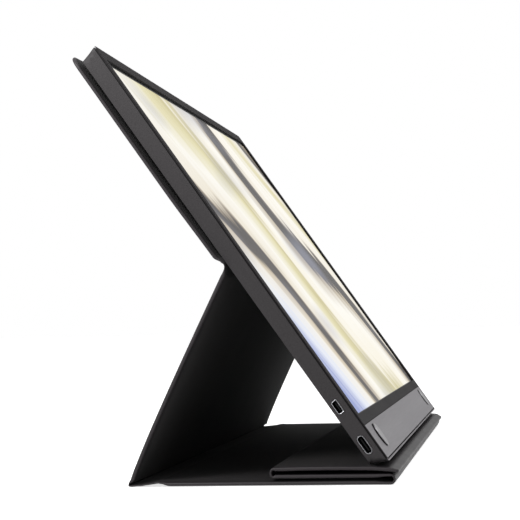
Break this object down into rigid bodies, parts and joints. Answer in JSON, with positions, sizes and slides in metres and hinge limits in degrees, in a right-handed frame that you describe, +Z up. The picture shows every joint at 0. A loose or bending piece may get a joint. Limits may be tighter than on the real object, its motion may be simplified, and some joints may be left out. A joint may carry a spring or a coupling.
{
  "type": "portable monitor with folding cover",
  "caption": "Slim portable monitor standing on a black folio cover that folds into a triangular stand with a ledge under the screen.",
  "frame": {"origin": "middle of the footprint on the table", "axes": "+X to the viewer's right along the width, +Y away from the viewer, +Z up"},
  "size_m": [0.3628, 0.1432, 0.1976],
  "materials": {
    "shell_plastic": "moulded black plastic with a fine spark-eroded grain",
    "brushed_strip": "brushed and dark anodised",
    "display": "matt polariser film on glass",
    "film_white": "thin optical sheet",
    "sheet_steel": "plated sheet steel",
    "circuit_board": "solder mask over glass fibre",
    "black_resin": "moulded resin",
    "copper_film": "polyimide film",
    "cable_white": "flat ribbon",
    "lamp_yellow": "lamp packages",
    "cover_leather": "smooth black coated leather, satin",
    "cover_lining": "black microfibre",
    "stiff_board": "pressed fibreboard"
  },
  "bodies": {
    "base": {"base_leather": "cover_leather", "base_board": "stiff_board", "base_lining": "cover_lining", "spine_strip": "cover_leather", "lower_fold": "cover_leather", "front_fold": "cover_leather"},
    "leg": {"leg_leather": "cover_leather", "leg_board": "stiff_board", "leg_lining": "cover_lining", "upper_fold": "cover_leather"},
    "back_panel": {"back_leather": "cover_leather", "back_board": "stiff_board", "back_lining": "cover_lining", "holding_magnets": "sheet_steel"},
    "monitor": {"rear_shell": "shell_plastic", "front_bezel": "shell_plastic", "metal_strip": "brushed_strip", "display_glass": "display", "diffuser_sheet": "film_white", "light_guide": "film_white", "reflector_sheet": "film_white", "panel_tray": "sheet_steel", "led_bar": "film_white", "led_lamps": "lamp_yellow", "main_board": "circuit_board", "board_chips": "black_resin", "shield_can": "sheet_steel", "driver_board": "circuit_board", "driver_films": "copper_film", "ribbon_cable": "cable_white", "board_screws": "sheet_steel", "usb_c_socket": "sheet_steel", "usb_c_tongue": "black_resin", "video_socket": "sheet_steel", "video_tongue": "black_resin", "power_switch": "black_resin", "menu_switch": "black_resin", "menu_board": "circuit_board", "menu_cable": "cable_white", "holding_plates": "sheet_steel"},
    "power_key": {"power_button": "brushed_strip", "power_plunger": "black_resin"},
    "menu_key": {"menu_button": "brushed_strip", "menu_plunger": "black_resin"},
    "flap": {"flap_leather": "cover_leather", "flap_board": "stiff_board", "flap_lining": "cover_lining", "rear_fold": "cover_lining"},
    "ledge": {"ledge_leather": "cover_leather", "ledge_board": "stiff_board", "ledge_lining": "cover_lining"}
  },
  "joints": [
    {"name": "leg_fold", "type": "hinge", "parent": "base", "child": "leg", "pos_m": [0, 0.04933, 0.0005], "axis": [-1, 0, 0], "range_deg": [0, 115.75], "deforming": ["lower_fold"]},
    {"name": "screen_fold", "type": "hinge", "parent": "leg", "child": "back_panel", "pos_m": [0, 0.00376, 0.09498], "axis": [1, 0, 0], "range_deg": [0, 59.96], "deforming": ["upper_fold"]},
    {"name": "front_fold_turn", "type": "hinge", "parent": "base", "child": "flap", "pos_m": [0, -0.06657, 0.00245], "axis": [1, 0, 0], "range_deg": [0, 180], "deforming": ["front_fold"]},
    {"name": "rear_fold_turn", "type": "hinge", "parent": "flap", "child": "ledge", "pos_m": [0, -0.01637, 0.00535], "axis": [-1, 0, 0], "range_deg": [0, 180], "deforming": ["rear_fold"]},
    {"name": "monitor_lift_off", "type": "slide", "parent": "back_panel", "child": "monitor", "axis": [0, -0.8271, 0.5621], "range_m": [0, 0.03]},
    {"name": "power_press", "type": "slide", "parent": "monitor", "child": "power_key", "axis": [0, 0.8271, -0.5621], "range_m": [0, 0.0004], "stiffness_N_per_m": 3000, "springref_m": -0.0001},
    {"name": "menu_press", "type": "slide", "parent": "monitor", "child": "menu_key", "axis": [0, 0.8271, -0.5621], "range_m": [0, 0.0004], "stiffness_N_per_m": 3000, "springref_m": -0.0001}
  ],
  "couplings": [
    {"joint": "screen_fold", "follows": "leg_fold", "ratio": 0.51793},
    {"joint": "front_fold_turn", "follows": "leg_fold", "ratio": 1.1577},
    {"joint": "rear_fold_turn", "follows": "leg_fold", "ratio": 0.80346}
  ]
}
